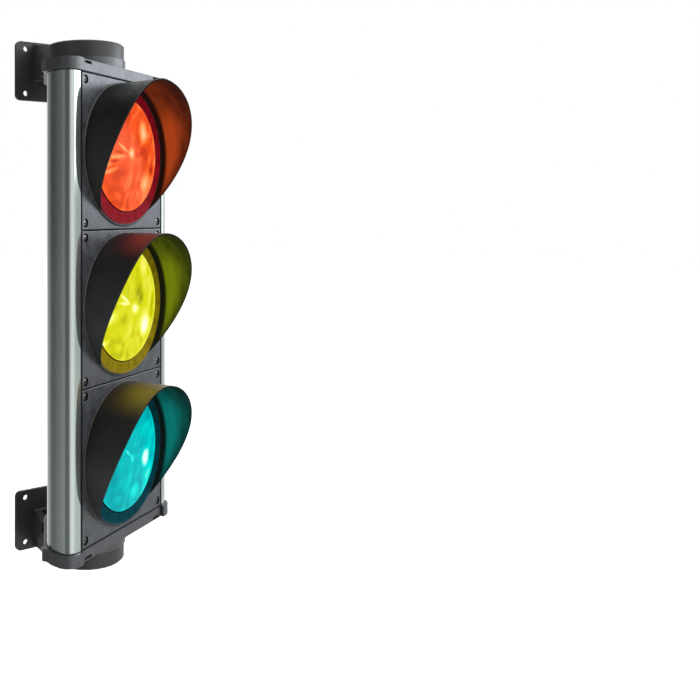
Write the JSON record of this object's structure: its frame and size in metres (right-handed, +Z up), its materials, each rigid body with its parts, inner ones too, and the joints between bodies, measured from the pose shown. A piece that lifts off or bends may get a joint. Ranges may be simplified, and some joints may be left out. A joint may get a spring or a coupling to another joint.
{
  "type": "traffic signal head",
  "caption": "Vertical red, yellow and green signal head with hooded lenses in an extruded housing, held at both ends by swivel wall brackets.",
  "frame": {"origin": "centre of the bottom bracket's wall plate, on its back face", "axes": "+Z up, +Y into the wall, the lamps face -Y and are turned 25 degrees towards +X at rest"},
  "size_m": [0.1795, 0.1952, 0.56],
  "materials": {
    "bracket_black": "satin moulded black",
    "cap_black": "satin moulded black-grey",
    "anodised_aluminium": "satin anodised, drawn lengthways",
    "panel_grey": "fine-grained moulded blue-grey",
    "visor_black": "satin black",
    "lens_red": "translucent, lit from behind",
    "lens_yellow": "translucent, lit from behind",
    "lens_green": "translucent, lit from behind",
    "rubber": "matt black",
    "zinc_steel": "zinc plated",
    "black_steel": "blackened",
    "reflector": "bright metallised",
    "lamp_white": "opal",
    "ivory_plastic": "matt moulded",
    "lead_red": "smooth insulation",
    "lead_yellow": "smooth insulation",
    "lead_green": "smooth insulation"
  },
  "bodies": {
    "wall_brackets": {"top_wall_bracket": "bracket_black", "bottom_wall_bracket": "bracket_black", "top_friction_washer": "rubber", "bottom_friction_washer": "rubber", "top_swivel_bolt": "zinc_steel", "top_swivel_nut": "zinc_steel", "bottom_hollow_stud": "zinc_steel", "bottom_stud_nut": "zinc_steel", "cable_grommet": "rubber"},
    "head": {"top_end_cap": "cap_black", "top_cap_gasket": "rubber", "top_cap_screw_front_left": "zinc_steel", "top_cap_screw_front_right": "zinc_steel", "top_cap_screw_rear_left": "zinc_steel", "top_cap_screw_rear_right": "zinc_steel", "bottom_end_cap": "cap_black", "bottom_cap_gasket": "rubber", "bottom_cap_screw_front_left": "zinc_steel", "bottom_cap_screw_front_right": "zinc_steel", "bottom_cap_screw_rear_left": "zinc_steel", "bottom_cap_screw_rear_right": "zinc_steel", "housing_extrusion": "anodised_aluminium", "terminal_block": "ivory_plastic", "front_panel_red": "panel_grey", "visor_red": "visor_black", "lens_red": "lens_red", "lens_seal_red": "rubber", "reflector_red": "reflector", "led_lamp_red": "lamp_white", "lamp_holder_red": "ivory_plastic", "lamp_lead_red": "lead_red", "panel_screw_red_upper_left": "black_steel", "panel_screw_red_upper_right": "black_steel", "panel_screw_red_lower_left": "black_steel", "panel_screw_red_lower_right": "black_steel", "front_panel_yellow": "panel_grey", "visor_yellow": "visor_black", "lens_yellow": "lens_yellow", "lens_seal_yellow": "rubber", "reflector_yellow": "reflector", "led_lamp_yellow": "lamp_white", "lamp_holder_yellow": "ivory_plastic", "lamp_lead_yellow": "lead_yellow", "panel_screw_yellow_upper_left": "black_steel", "panel_screw_yellow_upper_right": "black_steel", "panel_screw_yellow_lower_left": "black_steel", "panel_screw_yellow_lower_right": "black_steel", "front_panel_green": "panel_grey", "visor_green": "visor_black", "lens_green": "lens_green", "lens_seal_green": "rubber", "reflector_green": "reflector", "led_lamp_green": "lamp_white", "lamp_holder_green": "ivory_plastic", "lamp_lead_green": "lead_green", "panel_screw_green_upper_left": "black_steel", "panel_screw_green_upper_right": "black_steel", "panel_screw_green_lower_left": "black_steel", "panel_screw_green_lower_right": "black_steel"}
  },
  "joints": [
    {"name": "head_swivel", "type": "hinge", "parent": "wall_brackets", "child": "head", "pos_m": [0, -0.086, 0.2475], "axis": [0, 0, 1], "range_deg": [-95, 45]}
  ]
}
